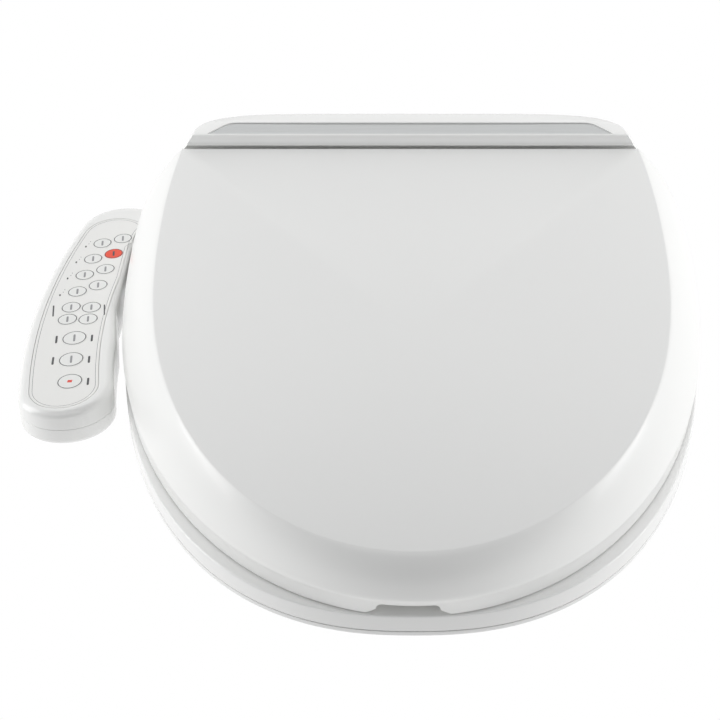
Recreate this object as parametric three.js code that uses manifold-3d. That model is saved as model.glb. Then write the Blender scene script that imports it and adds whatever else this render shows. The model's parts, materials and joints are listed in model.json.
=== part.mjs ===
// Electric bidet seat: a lid over a heated ring, a rear unit and a control arm at its side.
// Millimetres. The origin is midway between the two fixing holes, on the plane of the bowl.
// +X is to the right of a person facing the seat, +Y to the back, +Z up.
import * as THREE from 'three';
import { mergeVertices } from 'three/addons/utils/BufferGeometryUtils.js';
import Module from 'manifold-3d';

const wasm = await Module();
wasm.setup();

// ---- Driving dimensions ----
const WALL = 3;
const GAP = 0.3;
const BIG = 1000;

// The hinge line that the lid and the ring share.
const HINGE = { y: -34, z: 106 };
const EYE_RADIUS = 9;
const PIN_RADIUS = 4;
const UNIT_EYE = [96, 117];
const RING_EYE = [120, 138];
const LID_EYE = [140, 158];
const COVE_RADIUS = 28.5;

// Lid: a flat sloping panel inside a bevel that falls to an upright rim.
const LID_REAR = -16;
const PANEL = { half: 176.5, widest: -105, length: 312, power: 2.46, taper: 6.7e-4, tip: -417 };
const PANEL_TIP_Z = 62;
const PANEL_SLOPE = 0.157;
const LIP = { half: 214.5, widest: 0, length: 428.5, power: 2.3, tip: -428.5, z: 36 };
const RIM = { half: 213.5, widest: 0, length: 426, power: 2.3, tip: -426, z: 23 };
const LID_BUFFER = { x: 112, y: -300, radius: 5, low: 22.4, high: 26.7 };

// Ring.
const RING = { half: 212, widest: 0, length: 425, power: 2.3, root: 2.4, tip: -425, rear: -84, wing: -48 };
const APERTURE = { y: -236, half: 118, length: 124, power: 2.2 };
const RING_Z = { low: 6, seam: 10, top: 22 };
const BUMPERS = { radius: 9, low: 0, high: 5.7, places: [[112, -330], [165, -180]] };

// Rear unit: sections of the housing from its foot to its deck.
const HOUSING = [
  { z: 6.6, half: 212, front: -15, back: 48 },
  { z: 28, half: 213, front: -15, back: 48 },
  { z: 54, half: 208, front: -15, back: 48 },
  { z: 80, half: 198, front: -15, back: 48 },
  { z: 97, half: 189, front: -15, back: 46 },
  { z: 114, half: 176, front: -15, back: 42 },
  { z: 126, half: 168, front: -15, back: 35 },
  { z: 132, half: 164, front: -11, back: 30 },
  { z: 134, half: 160, front: -8, back: 26 },
];
const DECK = 134;
const BAY = { half: 117, front: -70, low: 6.6, top: 77 };
const STRIP = { half: 152, rearHalf: 144, front: -9, back: 11, thick: 1.2, recess: 0.6 };
const TRAY = { low: 3.3, high: 6.3, half: 205, back: 44, front: -66 };
const PLATE = { half: 95, front: -38, back: 38, thick: 3, holes: 140, slotLong: 24, slotWide: 11 };

// Nozzles: two tubes that slide down and forward under the ring.
const NOZZLE = { tipY: -56, tipZ: 10, tilt: 35, length: 95, radius: 5.2, spread: 9 };
const NOZZLE_WINDOW = { half: 34, high: 18, back: -45 };

// Dryer: a blower behind a duct that opens at the front of the bay.
const FAN = { x: 78, z: 45, radius: 28, front: -3, back: 22, wheel: 22 };
const DUCT = { x: 78, half: 20, low: 12, high: 32, front: -66.5, back: -5 };
const FLAP = { half: 17, low: 14.4, hinge: 29, thick: 1.5 };

// Control arm: a band bent round one centre, with round ends and a sloping top.
const ARM = { x: 309, y: -112, radius: 552.5, half: 32.5, from: -9.3, to: 13.2 };
const ARM_FACE = { x: -235, y: -205, z: 33, slope: 0.0501 };
const ARM_LOW = 6.6;
const ARM_SEAM = 18;
const ARM_INNER_LIMIT = -216.5;
// The line that the lid and ring keep behind as they swing, from the housing forwards.
const ARM_SWEEP = [[-216.5, -14], [-216.5, -100], [-208.9, -150], [-200.5, -200], [-190.8, -240], [-180, -260]];
const OVERLAY = { radius: 553.5, half: 23.5, from: -9.5, to: 12, thick: 0.7, recess: 1 };
const KEY = { small: 7, large: 8.5, top: 0.4, low: -6 };
const KEY_ROWS = { inner: 543.7, outer: 557.5, middle: 549.5 };
const KEY_BOARD = { half: 20, top: -7.4, thick: 1.6 };

// ---- Materials ----
const plastic = (color, roughness) => new THREE.MeshStandardMaterial({ color, roughness, metalness: 0 });
const WHITE = plastic(0xf2f2ef, 0.3);
const GREY = plastic(0xb9bcba, 0.4);
const DARK = plastic(0x3a3c3e, 0.6);
const RUBBER = plastic(0xdadad6, 0.8);
const BOARD = plastic(0x1f6b3a, 0.5);
const RED = plastic(0xe8502e, 0.4);
const METAL = new THREE.MeshStandardMaterial({ color: 0xb8babc, roughness: 0.35, metalness: 1 });
const BRASS = new THREE.MeshStandardMaterial({ color: 0xc9a24b, roughness: 0.35, metalness: 1 });

// ---- Solids ----
function solid(geometry) {
  const bare = geometry.clone();
  bare.deleteAttribute('normal');
  bare.deleteAttribute('uv');
  const merged = mergeVertices(bare, 1e-4);
  const vertProperties = new Float32Array(merged.attributes.position.array);
  const triVerts = new Uint32Array(merged.index.array);
  return new wasm.Manifold(new wasm.Mesh({ numProp: 3, vertProperties, triVerts }));
}

function geometryOf(body) {
  const mesh = body.getMesh();
  const geometry = new THREE.BufferGeometry();
  geometry.setAttribute('position', new THREE.BufferAttribute(mesh.vertProperties, 3));
  geometry.setIndex(new THREE.BufferAttribute(mesh.triVerts, 1));
  return geometry;
}

// A box from its lowest to its highest corner.
function box(low, high) {
  const size = high.map((value, k) => value - low[k]);
  const middle = high.map((value, k) => (value + low[k]) / 2);
  return solid(new THREE.BoxGeometry(...size).translate(...middle));
}

const DIRECTIONS = { x: [0, 0, -Math.PI / 2], y: [0, 0, 0], z: [Math.PI / 2, 0, 0] };

// A round bar along one axis, from one coordinate to another, through a point across it.
function bar(axis, from, to, across, radius, sides = 24) {
  const turn = new THREE.Euler(...DIRECTIONS[axis]);
  const geometry = new THREE.CylinderGeometry(radius, radius, to - from, sides);
  geometry.applyMatrix4(new THREE.Matrix4().makeRotationFromEuler(turn));
  const middle = (from + to) / 2;
  const place = { x: [middle, ...across], y: [across[0], middle, across[1]], z: [...across, middle] };
  return solid(geometry.translate(...place[axis]));
}

// A flat outline in plan raised from one height to another.
function slab(points, low, high) {
  const shape = new THREE.Shape(points.map(([x, y]) => new THREE.Vector2(x, y)));
  const geometry = new THREE.ExtrudeGeometry(shape, { depth: high - low, bevelEnabled: false });
  return solid(geometry.translate(0, 0, low));
}

// An outline in the upright Y-Z plane carried along X.
function upright(points, from, to) {
  const shape = new THREE.Shape(points.map(([y, z]) => new THREE.Vector2(y, z)));
  const geometry = new THREE.ExtrudeGeometry(shape, { depth: to - from, bevelEnabled: false });
  const turn = new THREE.Matrix4().makeBasis(
    new THREE.Vector3(0, 1, 0), new THREE.Vector3(0, 0, 1), new THREE.Vector3(1, 0, 0));
  return solid(geometry.applyMatrix4(turn).translate(from, 0, 0));
}

// A skin over rings with equal numbers of points, anticlockwise from above, the lowest ring first.
function loft(rings) {
  const count = rings[0].length;
  const points = rings.flat();
  const faces = [];
  for (let level = 0; level + 1 < rings.length; level++) {
    for (let i = 0; i < count; i++) {
      const near = level * count + i;
      const next = level * count + ((i + 1) % count);
      faces.push(near, next, next + count, near, next + count, near + count);
    }
  }
  const top = (rings.length - 1) * count;
  const centre = ring => [0, 1, 2].map(k => ring.reduce((sum, p) => sum + p[k], 0) / count);
  const foot = points.push(centre(rings[0])) - 1;
  const head = points.push(centre(rings.at(-1))) - 1;
  for (let i = 0; i < count; i++) {
    const next = (i + 1) % count;
    faces.push(foot, next, i, head, top + i, top + next);
  }
  const geometry = new THREE.BufferGeometry();
  geometry.setAttribute('position', new THREE.Float32BufferAttribute(points.flat(), 3));
  geometry.setIndex(faces);
  return solid(geometry);
}

const both = (low, high, make) => make(low, high).add(make(-high, -low));
const lerp = THREE.MathUtils.lerp;
const radians = THREE.MathUtils.degToRad;

// ---- Outlines in plan ----
// Half the width at y of a blunt ellipse that is widest at its own line and closes at its tip.
function halfWidth(outline, y) {
  const ahead = (outline.widest - y) / outline.length;
  if (ahead <= 0) return outline.half - (outline.taper ?? 0) * (y - outline.widest) ** 2;
  return outline.half * Math.max(0, 1 - ahead ** outline.power) ** (1 / (outline.root ?? 2));
}

// The closed outline: from the tip up the right side, across the rear and down the left side.
function bowlOutline(outline, rear, inset = 0, steps = 18) {
  const right = [];
  const tip = outline.tip + inset;
  const inner = { ...outline, half: outline.half - inset, length: outline.length - inset };
  for (let i = steps; i >= 0; i--) {
    const y = lerp(rear, tip, Math.sin((i / steps) * Math.PI / 2));
    right.push([i === steps ? 0 : halfWidth(inner, y), y]);
  }
  const left = right.slice(1).reverse().map(([x, y]) => [-x, y]);
  return [...right, ...left];
}

const panelHeight = y => PANEL_TIP_Z + PANEL_SLOPE * (y - PANEL.tip);

// ---- Lid ----
// A notch for a finger in the front of the rim, with sloping ends.
const NOTCH = { x: -3.5, foot: 25.5, roof: 18, top: 30.4, front: -440, back: -412 };

function fingerNotch() {
  const { x, foot, roof, top, front, back } = NOTCH;
  const level = (half, z) => [[x + half, front, z], [x + half, back, z], [x - half, back, z], [x - half, front, z]];
  return loft([level(foot, RIM.z - 1), level(roof, top)]);
}

const BEVEL_STEPS = 5;
const bevelIn = up => 0.3 * up + 0.7 * up ** 2.5;

function lidBlank(inset, foot) {
  const rear = LID_REAR - inset;
  const rim = bowlOutline(RIM, rear, inset);
  const lip = bowlOutline(LIP, rear, inset);
  const panel = bowlOutline(PANEL, rear, inset);
  const rings = [rim.map(([x, y]) => [x, y, foot])];
  for (let step = 0; step <= BEVEL_STEPS; step++) {
    const up = step / BEVEL_STEPS;
    const across = bevelIn(up);
    rings.push(lip.map(([x, y], i) => [
      lerp(x, panel[i][0], across),
      lerp(y, panel[i][1], across),
      lerp(LIP.z, panelHeight(panel[i][1]) - inset, up),
    ]));
  }
  return loft(rings);
}

function lidShell() {
  const eyeWeb = (low, high) => box(
    [low, HINGE.y - EYE_RADIUS, HINGE.z], [high, HINGE.y + EYE_RADIUS, HINGE.z + 14.3]);
  const eye = (low, high) => bar('x', low, high, [HINGE.y, HINGE.z], EYE_RADIUS);
  const bore = (low, high) => bar('x', low - 1, high + 1, [HINGE.y, HINGE.z], PIN_RADIUS + GAP);
  const post = (low, high) => bar(
    'z', LID_BUFFER.high + GAP, panelHeight(LID_BUFFER.y) - 1, [(low + high) / 2, LID_BUFFER.y], 7);
  const rearDoor = box([-LID_EYE[1] - 4, -30, 0], [LID_EYE[1] + 4, 0, 118]);
  return lidBlank(0, RIM.z)
    .subtract(lidBlank(WALL, RIM.z - 2))
    .subtract(rearDoor)
    .subtract(fingerNotch())
    .add(both(...LID_EYE, eyeWeb))
    .add(both(...LID_EYE, eye))
    .add(both(LID_BUFFER.x, LID_BUFFER.x, post))
    .subtract(both(...LID_EYE, bore));
}

// ---- Ring ----
function apertureOutline(grow = 0, steps = 32) {
  const points = [];
  const power = 2 / APERTURE.power;
  for (let i = 0; i < steps; i++) {
    const angle = (i / steps) * 2 * Math.PI;
    const c = Math.cos(angle);
    const s = Math.sin(angle);
    points.push([
      (APERTURE.half + grow) * Math.sign(c) * Math.abs(c) ** power,
      APERTURE.y + (APERTURE.length + grow) * Math.sign(s) * Math.abs(s) ** power,
    ]);
  }
  return points;
}

function ringBand(low, high, margin = 0, rear = RING.rear) {
  const outer = slab(bowlOutline(RING, rear - margin, margin, 14), low, high);
  return outer.subtract(slab(apertureOutline(margin), low - 1, high + 1));
}

// The whole plan of the ring, with a wing on each side of the bay.
function wingedBand(low, high) {
  const bayGap = box([-RING_EYE[0] + 1, RING.rear, low - 1], [RING_EYE[0] - 1, 0, high + 1]);
  return ringBand(low, high, 0, RING.wing).subtract(bayGap);
}

function ringTop() {
  const arm = (low, high) => upright([
    [HINGE.y - EYE_RADIUS + 1, HINGE.z], [RING.rear, RING_Z.top - 1], [RING.wing - 6, RING_Z.top - 1],
    [HINGE.y + EYE_RADIUS - 1, HINGE.z],
  ], low, high);
  const eye = (low, high) => bar('x', low, high, [HINGE.y, HINGE.z], EYE_RADIUS);
  const bore = (low, high) => bar('x', low - 1, high + 1, [HINGE.y, HINGE.z], PIN_RADIUS + GAP);
  return wingedBand(RING_Z.seam, RING_Z.top)
    .subtract(ringBand(RING_Z.seam - 1, RING_Z.top - 4, 8))
    .add(both(...RING_EYE, arm))
    .add(both(...RING_EYE, eye))
    .subtract(both(...RING_EYE, bore));
}

// ---- Rear unit ----
const HOUSING_STEPS = 11;

function housingRing({ z, half, front, back }, inset) {
  const right = [];
  const first = front + inset;
  for (let i = 0; i <= HOUSING_STEPS; i++) {
    const along = Math.sin((i / HOUSING_STEPS) * Math.PI / 2);
    const x = i === HOUSING_STEPS ? 0 : (half - inset) * (1 - along ** 2.5) ** (1 / 6);
    right.push([x, lerp(first, back - inset, along), z]);
  }
  const left = right.slice(0, -1).reverse().map(([x, y, height]) => [-x, y, height]);
  return [...right, ...left];
}

// The outside, or with an inset the hollow, which runs on down past the foot.
function housingBlank(inset) {
  const sections = HOUSING.map((section, i) => {
    const last = i === HOUSING.length - 1;
    if (i === 0) return { ...section, z: section.z - inset };
    return last ? { ...section, z: section.z - inset } : section;
  });
  const kept = inset > 0 ? sections.filter(({ z }, i) => z < DECK - 4 || i === sections.length - 1) : sections;
  return loft(kept.map(section => housingRing(section, inset)));
}

function stripOutline(margin) {
  const front = STRIP.front - margin;
  const back = STRIP.back + margin;
  const points = [[STRIP.half + margin, front]];
  for (let i = 0; i <= 6; i++) {
    const turn = (i / 6) * Math.PI / 2;
    const x = STRIP.rearHalf - 12 + (12 + margin) * Math.cos(turn);
    points.push([x, back - 12 + 12 * Math.sin(turn)]);
  }
  const left = points.map(([x, y]) => [-x, y]).reverse();
  return [...points, ...left];
}

function rearHousing() {
  const cove = radius => bar('x', -BIG / 4, BIG / 4, [HINGE.y, HINGE.z], radius, 48);
  const bay = box([-BAY.half, BAY.front, BAY.low], [BAY.half, HOUSING[0].front + 4, BAY.top]);
  const bayHollow = box(
    [-BAY.half + WALL, BAY.front + WALL, BAY.low - 1], [BAY.half - WALL, HOUSING[0].front + 6, BAY.top - WALL]);
  const post = (low, high) => box(
    [low, HINGE.y - EYE_RADIUS, BAY.top - 1], [high, HINGE.y + EYE_RADIUS, HINGE.z]);
  const eye = (low, high) => bar('x', low, high, [HINGE.y, HINGE.z], EYE_RADIUS);
  const bore = (low, high) => bar('x', low - 1, high + 1, [HINGE.y, HINGE.z], PIN_RADIUS + GAP);
  const hollow = housingBlank(WALL).subtract(cove(COVE_RADIUS + WALL));
  return housingBlank(0)
    .subtract(cove(COVE_RADIUS))
    .add(bay)
    .subtract(hollow)
    .subtract(bayHollow)
    .add(both(...UNIT_EYE, post))
    .add(both(...UNIT_EYE, eye))
    .subtract(both(...UNIT_EYE, bore))
    .subtract(slab(stripOutline(GAP), DECK - STRIP.thick - STRIP.recess - GAP, DECK + 5))
    .subtract(nozzleWindow())
    .subtract(ductWindow())
    .subtract(sideOpenings());
}

function nozzleWindow() {
  const { half, high, back } = NOZZLE_WINDOW;
  return box([-half, BAY.front - 5, 0], [half, BAY.front + 8, high])
    .add(box([-half, BAY.front - 5, 0], [half, back, TRAY.high + 1]));
}

function ductWindow() {
  const { x, half, low, high } = DUCT;
  return box([x - half + 1, BAY.front - 5, low + 1], [x + half - 1, BAY.front + 8, high - 1]);
}

function baseTray() {
  const plan = housingRing({ z: 0, half: TRAY.half, front: HOUSING[0].front + 1, back: TRAY.back }, 0);
  const tongue = box([-250, -4, TRAY.low], [-190, 32, TRAY.high]);
  return slab(plan.map(([x, y]) => [x, y]), TRAY.low, TRAY.high)
    .add(box([-BAY.half + 2, TRAY.front, TRAY.low], [BAY.half - 2, 0, TRAY.high]))
    .add(tongue)
    .subtract(nozzleWindow())
    .subtract(fixingSlots(TRAY.low, TRAY.high));
}

// Two slots across the seat, where the bolts to the bowl pass.
function fixingSlots(low, high) {
  const slot = (x0, x1) => {
    const middle = (x0 + x1) / 2;
    const reach = (PLATE.slotLong - PLATE.slotWide) / 2;
    const radius = PLATE.slotWide / 2;
    const end = shift => bar('z', low - 1, high + 1, [middle, shift], radius);
    const waist = box([middle - radius, -reach, low - 1], [middle + radius, reach, high + 1]);
    return waist.add(end(-reach)).add(end(reach));
  };
  return both(PLATE.holes / 2, PLATE.holes / 2, slot);
}

function mountingPlate() {
  return box([-PLATE.half, PLATE.front, 0], [PLATE.half, PLATE.back, PLATE.thick])
    .subtract(fixingSlots(0, PLATE.thick));
}

// ---- Water ----
const TANK = { low: [-125, -8, 8], high: [-45, 38, 68], wall: 2.5 };
const VALVE = { low: [-188, 4, 9], high: [-142, 28, 33] };
const INLET = { x: -165, z: 24, from: 29, radius: 9, bore: 5 };

function waterTank() {
  const low = TANK.low.map(value => value + TANK.wall);
  const high = [TANK.high[0] - TANK.wall, TANK.high[1] - TANK.wall, TANK.high[2] + 1];
  return box(TANK.low, TANK.high).subtract(box(low, high));
}

// A round tube along a curve through points.
function tube(points, radius, sides = 4, steps = 20) {
  const path = new THREE.CatmullRomCurve3(points.map(point => new THREE.Vector3(...point)));
  const section = new THREE.Shape();
  section.absarc(0, 0, radius, 0, 2 * Math.PI);
  return solid(new THREE.ExtrudeGeometry(section, { extrudePath: path, steps, curveSegments: sides }));
}

// The heater's bent rod stands in the tank; the hose runs from the valve's neck to the top of the tank.
const HEATER_LOOP = [[-112, 15, 60], [-112, 15, 30], [-104, 15, 22], [-66, 15, 22], [-58, 15, 30], [-58, 15, 60]];
const HOSE_ROUTE = [[-165, 42.6], [-165, 55], [-158, 76], [-120, 84], [-86, 80], [-82, 70]];
const HOSE_LINE = 16;
const ROD_RADIUS = 3;

const tankHeater = () => tube(HEATER_LOOP, ROD_RADIUS);
const tankHose = () => tube(HOSE_ROUTE.map(([x, z]) => [x, HOSE_LINE, z]), ROD_RADIUS);

function solenoidValve() {
  const neck = bar('z', VALVE.high[2] - 1, 42, [-165, 16], 8);
  return box(VALVE.low, VALVE.high).add(neck);
}

function inletPort() {
  const profile = [[INLET.bore, 0], [INLET.radius, 0], [INLET.radius, 7], [7, 8], [7, 15], [INLET.radius, 16]];
  for (let turn = 0; turn < 4; turn++) {
    profile.push([INLET.radius, 17.5 + turn * 3], [INLET.radius - 1, 19 + turn * 3]);
  }
  profile.push([INLET.bore, 28], [INLET.bore, 0]);
  const points = profile.map(([radius, along]) => new THREE.Vector2(radius, along));
  return solid(new THREE.LatheGeometry(points, 20).translate(INLET.x, INLET.from, INLET.z));
}

// ---- Nozzles, in the frame of the slide: along -Y towards the bowl ----
function nozzle(x) {
  const jet = bar('z', NOZZLE.radius - 1.5, NOZZLE.radius + 2, [x, 7], 1.2, 10);
  return bar('y', 0, NOZZLE.length, [x, 0], NOZZLE.radius, 20).subtract(jet);
}

function nozzleBlock() {
  const bore = x => bar('y', 10, 80, [x, 0], NOZZLE.radius + GAP + 0.1, 20);
  return box([-20, 14, -8], [20, 75, 9]).subtract(bore(-NOZZLE.spread)).subtract(bore(NOZZLE.spread));
}

const nozzleMotor = (from, to) => bar('x', from, to, [45, 3], 10).add(bar('x', from + 3, to - 3, [45, 3], 11));

// ---- Dryer ----
function fanHousing() {
  const place = [FAN.x, FAN.z];
  const mouth = box([FAN.x - 18, FAN.front - 2, DUCT.low + 6], [FAN.x + 18, FAN.front + 4, DUCT.high - 2]);
  return bar('y', FAN.front, FAN.back, place, FAN.radius, 36)
    .subtract(bar('y', FAN.front + 2, FAN.back - 2, place, FAN.radius - 2, 36))
    .subtract(bar('y', FAN.back - 3, FAN.back + 1, place, 3.5, 16))
    .subtract(mouth);
}

const BLADES = 12;

function fanWheel() {
  const place = [FAN.x, FAN.z];
  let wheel = bar('y', 2, 4, place, FAN.wheel, 24).add(bar('y', 2, 18, place, 6, 16));
  for (let i = 0; i < BLADES; i++) {
    const blade = new THREE.BoxGeometry(1.6, 15, 8).translate(0, 10.5, FAN.wheel - 5);
    blade.applyMatrix4(new THREE.Matrix4().makeRotationY((i / BLADES) * 2 * Math.PI));
    wheel = wheel.add(solid(blade.translate(FAN.x, 0, FAN.z)));
  }
  return wheel.subtract(bar('y', 6, 20, place, 2, 12));
}

function fanMotor() {
  const place = [FAN.x, FAN.z];
  return bar('y', FAN.back + GAP, FAN.back + 18, place, 15, 24).add(bar('y', 7, FAN.back + 1, place, 1.5, 12));
}

function dryerDuct() {
  const { x, half, low, high, front, back } = DUCT;
  return box([x - half, front, low], [x + half, back, high])
    .subtract(box([x - half + 2, front - 1, low + 2], [x + half - 2, back + 1, high - 2]));
}

function dryerHeater() {
  let grid = box([FAN.x - 17, -30, 15], [FAN.x + 17, -16, 16.5]);
  for (let x = -16; x <= 16; x += 8) {
    grid = grid.add(box([FAN.x + x - 1, -30, 15], [FAN.x + x + 1, -16, 29]));
  }
  return grid;
}

function dryerFlap() {
  const front = BAY.front + 0.5;
  return box([FAN.x - FLAP.half, front, FLAP.low], [FAN.x + FLAP.half, front + FLAP.thick, FLAP.hinge])
    .add(bar('x', FAN.x - FLAP.half, FAN.x + FLAP.half, [front + 1, FLAP.hinge - 1], 1.5, 12));
}

// ---- Pieces in the side and back walls ----
const CARTRIDGE = { low: [150, -8, 14], high: [211, 14, 40] };
const RELEASE = { low: [186, 22, 12], high: [203, 30, 24] };
const GLAND = { x: 150, z: 20, from: 34, to: 56, radius: 7, cord: 3.6 };

const grown = (corner, by) => corner.map(value => value + by);

function sideOpenings() {
  const slot = ({ low, high }) => box(grown(low, -0.4), [240, high[1] + 0.4, high[2] + 0.4]);
  return slot(CARTRIDGE)
    .add(slot(RELEASE))
    .add(bar('y', 30, 70, [INLET.x, INLET.z], INLET.radius + GAP + 0.1))
    .add(bar('y', 30, 70, [GLAND.x, GLAND.z], GLAND.radius + GAP));
}

function cartridge() {
  const pocket = box([CARTRIDGE.low[0] + 3, -6, 17], [CARTRIDGE.high[0] - 8, 12, 45]);
  return box(CARTRIDGE.low, CARTRIDGE.high).subtract(pocket);
}

function cordGland() {
  const { x, z, from, to, radius, cord } = GLAND;
  const flange = bar('y', from, from + 3, [x, z], radius + 3);
  return bar('y', from + 1, to, [x, z], radius).add(flange).subtract(bar('y', from - 1, to + 1, [x, z], cord));
}

// ---- Control arm ----
const armPoint = (radius, degrees) => {
  const angle = radians(degrees);
  return [ARM.x - radius * Math.cos(angle), ARM.y + radius * Math.sin(angle)];
};

// The outline of a band bent round the arm's centre, with a half round at each end.
function bandOutline(radius, half, from, to, steps = 9) {
  const points = [];
  for (let i = 0; i <= steps; i++) points.push(armPoint(radius + half, lerp(from, to, i / steps)));
  const [backX, backY] = armPoint(radius, to);
  const [frontX, frontY] = armPoint(radius, from);
  const endTurn = (x, y, start) => {
    for (let i = 1; i < 8; i++) {
      const angle = start - (i / 8) * Math.PI;
      points.push([x + half * Math.cos(angle), y + half * Math.sin(angle)]);
    }
  };
  endTurn(backX, backY, Math.PI - radians(to));
  for (let i = 0; i <= steps; i++) points.push(armPoint(radius - half, lerp(to, from, i / steps)));
  endTurn(frontX, frontY, -radians(from));
  return points.reverse();
}

const faceNormal = new THREE.Vector3(-ARM_FACE.slope, -ARM_FACE.slope, 1).normalize();
const faceTurn = new THREE.Quaternion().setFromUnitVectors(new THREE.Vector3(0, 0, 1), faceNormal);
const facePlace = new THREE.Vector3(ARM_FACE.x, ARM_FACE.y, ARM_FACE.z);
const faceMatrix = new THREE.Matrix4().compose(facePlace, faceTurn, new THREE.Vector3(1, 1, 1));
const onFace = ([x, y]) => [x - ARM_FACE.x, y - ARM_FACE.y];
const inWorld = body => solid(geometryOf(body).applyMatrix4(faceMatrix));
const inFace = body => solid(geometryOf(body).applyMatrix4(faceMatrix.clone().invert()));

// Everything of the arm that lies under the sloping face, lowered by a depth.
function armBlank(half, low, depth) {
  const roof = slab([[-500, -500], [500, -500], [500, 500], [-500, 500]], -depth, 200);
  const outline = bandOutline(ARM.radius, half, ARM.from, ARM.to);
  return slab(outline, low, 80).subtract(inWorld(roof));
}

// What the arm keeps clear of: the lid and ring as they swing, and the side of the housing.
function armClearance() {
  const shoulder = housingRing({ z: 0, half: 213.6, front: HOUSING[0].front, back: 48.6 }, 0);
  return slab(shoulder.map(([x, y]) => [x, y]), 0, 90).add(slab([...ARM_SWEEP, [0, -260], [0, -14]], 0, 90));
}

function keys() {
  const places = [];
  for (let i = 0; i < 4; i++) {
    places.push({ radius: KEY.small, at: armPoint(KEY_ROWS.inner, 11.3 - 2.4 * i) });
    places.push({ radius: KEY.small, at: armPoint(KEY_ROWS.outer, 10.4 - 2.4 * i) });
  }
  for (let i = 0; i < 2; i++) {
    places.push({ radius: KEY.small, at: armPoint(KEY_ROWS.outer + 0.3, 1 - 1.65 * i) });
    places.push({ radius: KEY.small, at: armPoint(KEY_ROWS.inner - 1, 0.9 - 1.65 * i) });
  }
  for (let i = 0; i < 3; i++) {
    places.push({ radius: KEY.large, at: armPoint(KEY_ROWS.middle, -3.25 - 2.8 * i) });
  }
  return places;
}

function keyHoles(low, high) {
  return keys()
    .map(({ radius, at }) => bar('z', low, high, onFace(at), radius + GAP + 0.05, 16))
    .reduce((sum, hole) => sum.add(hole));
}

function overlayPlate(low, high, margin) {
  const outline = bandOutline(OVERLAY.radius, OVERLAY.half + margin, OVERLAY.from, OVERLAY.to);
  return slab(outline.map(onFace), low, high);
}

// The arm keeps a solid wall on the side of the seat.
const innerWall = () => box([ARM_INNER_LIMIT - WALL, -BIG / 2, 0], [0, BIG / 2, 90]);

function armCover() {
  const hollow = armBlank(ARM.half - WALL, ARM_SEAM - 2, WALL + OVERLAY.recess).subtract(innerWall());
  const pocket = overlayPlate(-OVERLAY.recess, 20, GAP);
  return armBlank(ARM.half, ARM_SEAM + GAP, 0)
    .subtract(hollow)
    .subtract(inWorld(pocket.add(keyHoles(-12, 5))))
    .subtract(armClearance());
}

function armBase() {
  const outline = bandOutline(ARM.radius, ARM.half, ARM.from, ARM.to);
  const inner = bandOutline(ARM.radius, ARM.half - WALL, ARM.from, ARM.to);
  return slab(outline, ARM_LOW, ARM_SEAM)
    .subtract(slab(inner, ARM_LOW + WALL, ARM_SEAM + 1).subtract(innerWall()))
    .subtract(armClearance());
}

function keyBoard() {
  const outline = bandOutline(OVERLAY.radius, KEY_BOARD.half, OVERLAY.from, OVERLAY.to - 2);
  const wall = box([ARM_INNER_LIMIT - WALL - GAP, -BIG / 2, 0], [0, BIG / 2, 90]);
  return slab(outline.map(onFace), KEY_BOARD.top - KEY_BOARD.thick, KEY_BOARD.top).subtract(inFace(wall));
}

// ---- Assembly ----
const group = new THREE.Group();
const face = new THREE.Group();
face.position.copy(facePlace);
face.quaternion.copy(faceTurn);
const slide = new THREE.Group();
slide.position.set(0, NOZZLE.tipY, NOZZLE.tipZ);
slide.rotation.x = radians(NOZZLE.tilt);
group.add(face, slide);

function place(name, body, material, parent = group) {
  const mesh = new THREE.Mesh(geometryOf(body), material);
  mesh.name = name;
  parent.add(mesh);
}

place('base_tray', baseTray(), WHITE);
place('rear_housing', rearHousing(), WHITE);
place('deck_strip', slab(stripOutline(0), DECK - STRIP.thick - STRIP.recess, DECK - STRIP.recess), GREY);
place('mounting_plate', mountingPlate(), DARK);
place('water_tank', waterTank(), DARK);
place('tank_heater', tankHeater(), METAL);
place('solenoid_valve', solenoidValve(), DARK);
place('inlet_port', inletPort(), BRASS);
place('tank_hose', tankHose(), RUBBER);
place('main_board', box([118, 20, 12], [180, 21.6, 70]), BOARD);

place('nozzle_block', nozzleBlock(), WHITE, slide);
place('wash_nozzle', nozzle(-NOZZLE.spread), METAL, slide);
place('bidet_nozzle', nozzle(NOZZLE.spread), METAL, slide);
place('wash_nozzle_motor', nozzleMotor(-36, -21), METAL, slide);
place('bidet_nozzle_motor', nozzleMotor(21, 36), METAL, slide);

place('fan_housing', fanHousing(), DARK);
place('fan_wheel', fanWheel(), DARK);
place('fan_motor', fanMotor(), METAL);
place('dryer_duct', dryerDuct(), DARK);
place('dryer_heater', dryerHeater(), METAL);
place('dryer_flap', dryerFlap(), WHITE);
place('deodoriser_cartridge', cartridge(), GREY);
place('release_button', box(RELEASE.low, RELEASE.high), WHITE);
place('cord_gland', cordGland(), WHITE);

for (const [side, sign] of [['left', -1], ['right', 1]]) {
  const ends = [sign * (UNIT_EYE[0] + 1), sign * (LID_EYE[1] - 1)].sort((a, b) => a - b);
  place(`hinge_pin_${side}`, bar('x', ...ends, [HINGE.y, HINGE.z], PIN_RADIUS, 20), METAL);
  const buffer = [sign * LID_BUFFER.x, LID_BUFFER.y];
  place(`lid_buffer_${side}`, bar('z', LID_BUFFER.low, LID_BUFFER.high, buffer, LID_BUFFER.radius), RUBBER);
  for (const [x, y] of BUMPERS.places) {
    const where = y < -250 ? 'front' : 'rear';
    const bumper = bar('z', BUMPERS.low, BUMPERS.high, [sign * x, y], BUMPERS.radius);
    place(`ring_bumper_${where}_${side}`, bumper, RUBBER);
  }
}
place('lid_shell', lidShell(), WHITE);
place('ring_top', ringTop(), WHITE);
place('ring_heater', ringBand(RING_Z.seam + 4, RING_Z.seam + 5.2, 14), METAL);
place('ring_base', wingedBand(RING_Z.low, RING_Z.seam - GAP), WHITE);

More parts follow.
